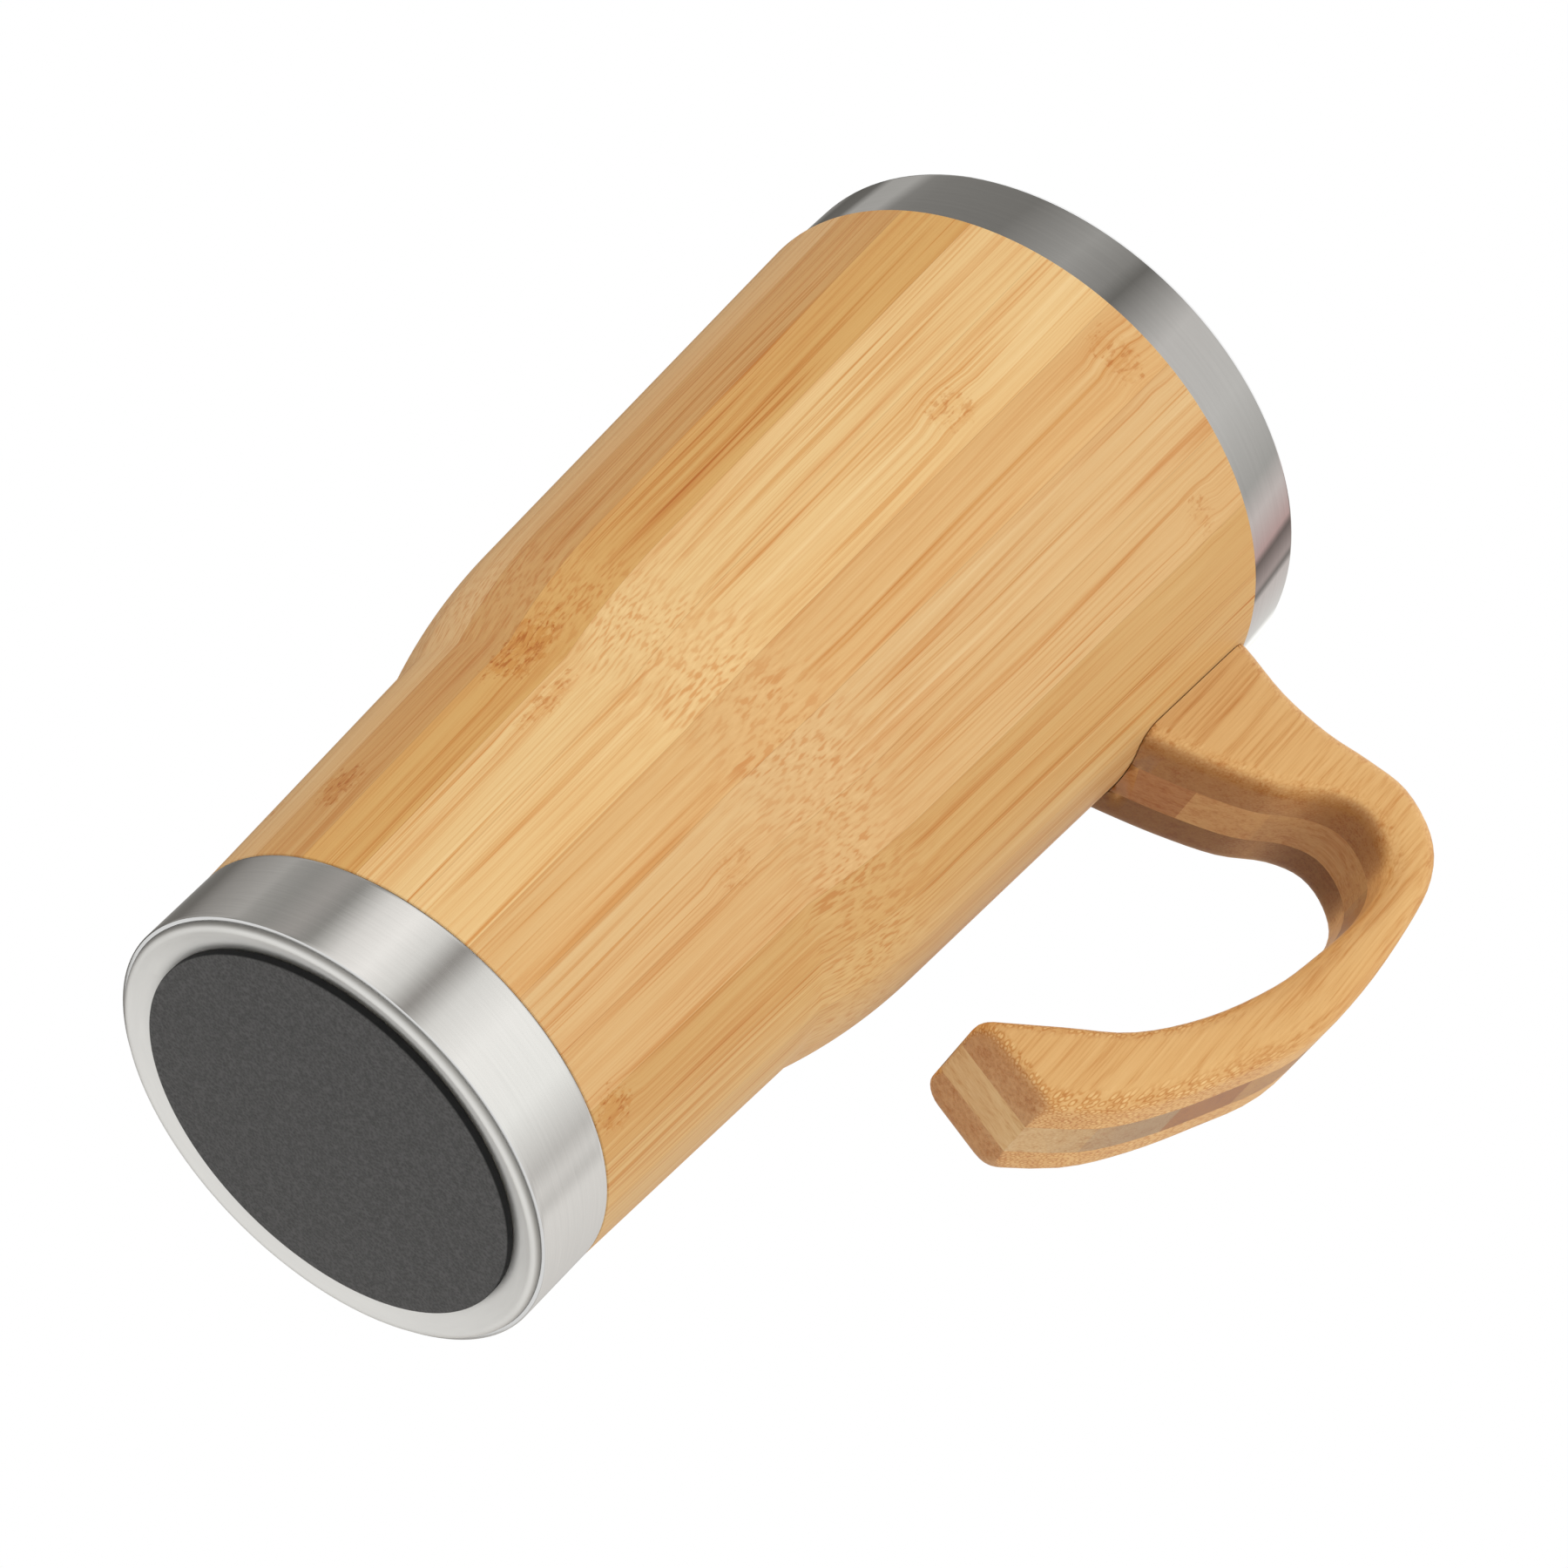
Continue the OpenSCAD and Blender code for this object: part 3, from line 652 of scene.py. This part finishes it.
# ---------------------------------------------------------------------------
# Hidden fixings. The pad's glue film, the foam disc that holds the liner off
# the foot plate, and the four screws that hold the handle from inside.
spacer = turned_piece(
    "foam_spacer", [(0, 2.0), (26.0, 2.0), (26.0, 5.8), (0, 5.8)], [(26.0, 5.8, 0.4, 3)],
    foam("spacer_foam", (236, 236, 230), (215, 215, 208)), "liner_spacer", steps=72)


def dress(node, material):
    """Gives a CAD node its material."""
    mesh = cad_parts[node].data
    mesh.materials.clear()
    mesh.materials.append(material)


dress("pad_film", foam("glue_film", (230, 226, 214), (210, 205, 190)))
dress("handle_screws", steel("screw_steel", (200, 200, 202),
                             rough=0.25, spread=0.1, lines=900.0, strength=0.2))


# ---------------------------------------------------------------------------
# Handle. Three plies of bamboo, sawn to shape and rounded along the outer
# edges: two faces with upright grain, and a core of strips laid across.
def handle_bamboo(name, along, side, end, under, dots):
    """Solid bamboo with its grain along one axis, 0 for X and 2 for Z: streaks on
    its sides, dots on its ends. Faces that look down under the arch take the
    browner under tone: painted shade, with some darker end grain."""
    material, tree = new_material(name)
    source = add(tree, "TexCoord").outputs

    # Place in mm, up to 2 mm astray as the grain wanders; the same place drawn out
    # along the grain, and the place on a section across it
    place = add(tree, "VectorMath", {0: source["Object"], "Scale": 1000.0},
                operation="SCALE").outputs[0]
    wander = add(tree, "TexNoise", {
        "Vector": place, "Scale": 0.03, "Detail": 1.0}).outputs["Color"]
    place = add(tree, "VectorMath", {0: wander, 1: (2.0, 2.0, 2.0), 2: place},
                operation="MULTIPLY_ADD").outputs[0]
    drawn_out = [0.022 if axis == along else 1.0 for axis in range(3)]
    solid = add(tree, "VectorMath", {0: place, 1: drawn_out}, operation="MULTIPLY").outputs[0]
    axes = add(tree, "SeparateXYZ", {0: place}).outputs
    section = add(tree, "CombineXYZ", {
        "X": axes[(along + 1) % 3], "Y": axes[(along + 2) % 3]}).outputs[0]
    normal = add(tree, "SeparateXYZ", {0: source["Normal"]}).outputs
    facing = maths(tree, "ABSOLUTE", normal[along])

    def grain(wide, detail=2.0):
        """Streaks along the grain, with their width in mm."""
        return add(tree, "TexNoise", {"Vector": solid, "Scale": 1 / wide, "Detail": detail,
                                      "Roughness": 0.6}).outputs["Fac"]

    # Sides and sawn ends, the painted shade (with some darker end grain) under the arch, and the
    # streaks
    sawn = between(tree, facing, 0.6, 0.95)
    wood = mixed(tree, sawn, colour(*side), colour(*end))
    # Painted shade: faces looking down, high under the arch, take the under tone
    shaded = maths(tree, "MULTIPLY", between(tree, normal["Z"], -0.45, -0.98),
                   between(tree, axes["Z"], 106.0, 122.0))
    wood = mixed(tree, shaded, wood, colour(*under))
    depth = layered(tree, (grain(3.4), 0.7), (grain(1.0), 0.9), (grain(0.34, 3.0), 1.1))
    wood = streaked(tree, wood, depth, (0.80, 0.61, 0.43), (1.08, 1.16, 1.28))

    # Fibre bundles run the length of the wood: where it is cut across they are pale
    # dots in darker rings, fainter up the handle, and on the sawn ends small dark dots
    bundles = add(tree, "TexVoronoi", {"Vector": section, "Scale": 1.35, "Randomness": 1.0},
                  voronoi_dimensions="2D").outputs["Distance"]
    ring = maths(tree, "MULTIPLY", between(tree, bundles, 0.20, 0.34),
                 between(tree, bundles, 0.40, 0.56, 1.0, 0.0))
    heart = between(tree, bundles, 0.12, 0.28, 1.0, 0.0)
    crossed = maths(tree, "MULTIPLY", between(tree, facing, 0.08, 0.38),
                    between(tree, facing, 0.80, 0.97, 1.0, 0.35))
    fainter = maths(tree, "MULTIPLY", between(tree, axes["Z"], 88.0, 112.0, 1.0, 0.3), dots)
    crossed = maths(tree, "MULTIPLY", crossed, fainter)
    rings = maths(tree, "MULTIPLY", ring, crossed)
    hearts = maths(tree, "MULTIPLY", heart, crossed)
    ends = maths(tree, "MULTIPLY", heart, between(tree, facing, 0.85, 0.98, 0.0, 0.5 * dots))
    wood = tinted(tree, wood, rings, (0.83, 0.67, 0.51))
    wood = tinted(tree, wood, hearts, (1.10, 1.21, 1.34))
    wood = tinted(tree, wood, ends, (0.66, 0.52, 0.40))

    dents = maths(tree, "SUBTRACT", grain(0.3), rings)
    bump = add(tree, "Bump", {"Height": dents, "Strength": 0.12, "Distance": 0.2 * MM})
    show(tree, add(tree, "BsdfPrincipled", {
        "Base Color": wood, "Roughness": maths(tree, "MULTIPLY_ADD", depth, 0.2, 0.34),
        "Specular IOR Level": 0.25, "Normal": bump.outputs[0]}).outputs[0])
    return material


def smooth_copy(name, node, material):
    """The node's own shape with its loose triangles joined and shaded smooth."""
    shape = bmesh.new()
    shape.from_mesh(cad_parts[node].data)
    bmesh.ops.remove_doubles(shape, verts=shape.verts, dist=0.002 * MM)
    return finish_piece(name, shape, material, node, sharp=30)


# The under tones are painted shade under the arch, darkest on the back ply
for face, under in (("front", (158, 110, 60)), ("back", (130, 88, 46))):
    wood = handle_bamboo(f"{face}_ply_bamboo", 2, side=(221, 172, 109), end=(195, 146, 96),
                         under=under, dots=1.0)
    smooth_copy(f"rounded_{face}_ply", f"handle_{face}_ply", wood)
# Each strip's under tone is painted shade under the arch, with some darker end grain
for strip, side, end, under, slot in (
        ("tip", (214, 174, 120), (170, 138, 104), (190, 150, 100), "bamboo_light"),
        ("lower", (204, 158, 104), (166, 114, 72), (176, 130, 80), "bamboo_end_grain"),
        ("grip", (208, 162, 104), (184, 138, 90), (180, 134, 84), "bamboo_end_grain"),
        ("upper", (204, 154, 94), (180, 130, 80), (176, 126, 76), "bamboo_end_grain"),
        ("bend", (204, 152, 90), (182, 134, 84), (172, 122, 72), "bamboo_end_grain"),
        ("arch", (204, 156, 92), (182, 138, 88), (186, 140, 86), "bamboo_end_grain"),
        ("root", (206, 156, 90), (182, 134, 78), (194, 146, 90), "bamboo_end_grain"),
        ("heel", (196, 142, 84), (168, 116, 66), (172, 118, 68), "bamboo_dark")):
    wood = handle_bamboo(f"core_bamboo_{strip}", 0, side, end, under, dots=0.3)
    smooth_copy(f"core_strip_{strip}", f"handle_core_{strip}", wood)
